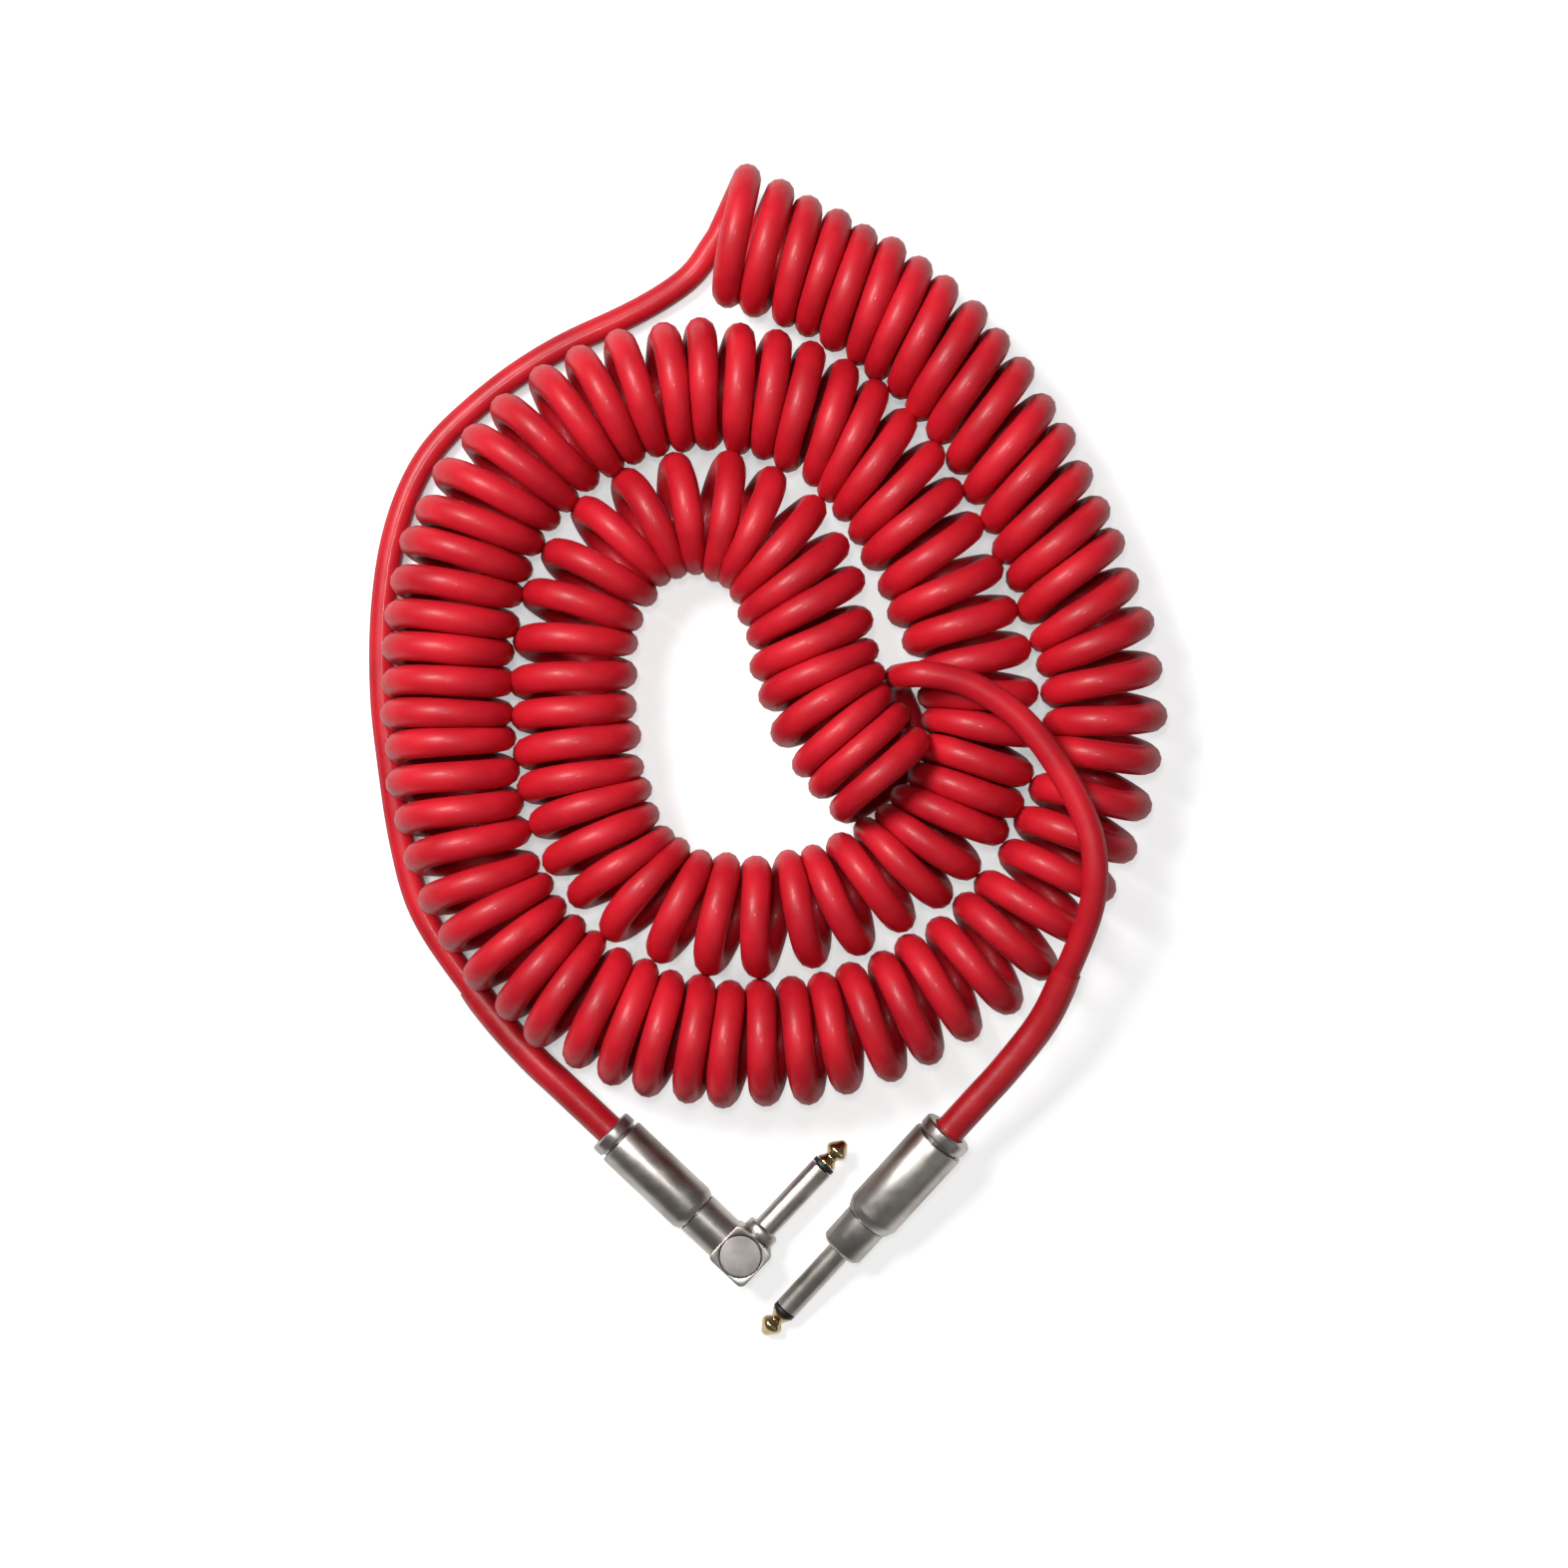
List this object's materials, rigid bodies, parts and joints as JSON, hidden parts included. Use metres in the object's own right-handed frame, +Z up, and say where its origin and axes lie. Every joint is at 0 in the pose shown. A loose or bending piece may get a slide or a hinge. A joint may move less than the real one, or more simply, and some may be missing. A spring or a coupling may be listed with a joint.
{
  "type": "curly instrument cable",
  "caption": "Red coiled instrument lead laid in a loose spiral, with a right-angle and a straight quarter-inch plug, each with a screw-on barrel over its solder lugs.",
  "frame": {"origin": "on the table under the middle of the two plugs as they lie", "axes": "+Z up from the table, +X to the right, +Y away from the plugs into the coil"},
  "size_m": [0.2143, 0.3128, 0.0416],
  "materials": {
    "red_jacket": "smooth satin extruded jacket",
    "red_sleeve": "heat-shrunk satin sleeve",
    "satin_nickel": "satin nickel plating",
    "bright_nickel": "bright nickel plating",
    "gold_contact": "polished gold plating",
    "black_insulator": "moulded, satin",
    "pale_nylon": "moulded nylon",
    "tinned_lug": "tinned brass stamping",
    "solder": "dull solder",
    "bare_copper": "twisted copper strands",
    "core_insulation": "smooth wire insulation"
  },
  "bodies": {
    "cable": {"straight_tip_contact": "gold_contact", "straight_insulator": "black_insulator", "straight_body": "satin_nickel", "straight_ground_lug": "tinned_lug", "straight_rear_washer": "pale_nylon", "straight_tip_lug": "tinned_lug", "straight_solder_joint": "solder", "straight_core_wire": "core_insulation", "straight_screen_pigtail": "bare_copper", "elbow_housing": "satin_nickel", "elbow_cap": "satin_nickel", "elbow_tip_contact": "gold_contact", "elbow_insulator": "black_insulator", "elbow_shank": "satin_nickel", "elbow_rear_washer": "pale_nylon", "elbow_tip_lug": "tinned_lug", "elbow_ground_lug": "tinned_lug", "elbow_core_wire": "core_insulation", "elbow_solder_joint": "solder", "elbow_screen_pigtail": "bare_copper", "lead_to_elbow_plug": "red_jacket", "lead_to_straight_plug": "red_jacket", "curly_cord": "red_jacket", "elbow_cord_sleeve": "red_sleeve", "straight_cord_sleeve": "red_sleeve"},
    "straight_shell": {"straight_barrel": "satin_nickel", "straight_rear_collar": "bright_nickel", "straight_liner": "pale_nylon"},
    "elbow_shell": {"elbow_barrel": "satin_nickel", "elbow_rear_collar": "bright_nickel", "elbow_liner": "pale_nylon"}
  },
  "joints": [
    {"name": "straight_shell_slide", "type": "slide", "parent": "cable", "child": "straight_shell", "axis": [0.6548, 0.7356, 0.1736], "range_m": [0, 0.02]},
    {"name": "elbow_shell_slide", "type": "slide", "parent": "cable", "child": "elbow_shell", "axis": [-0.7283, 0.6853, 0], "range_m": [0, 0.02]}
  ]
}
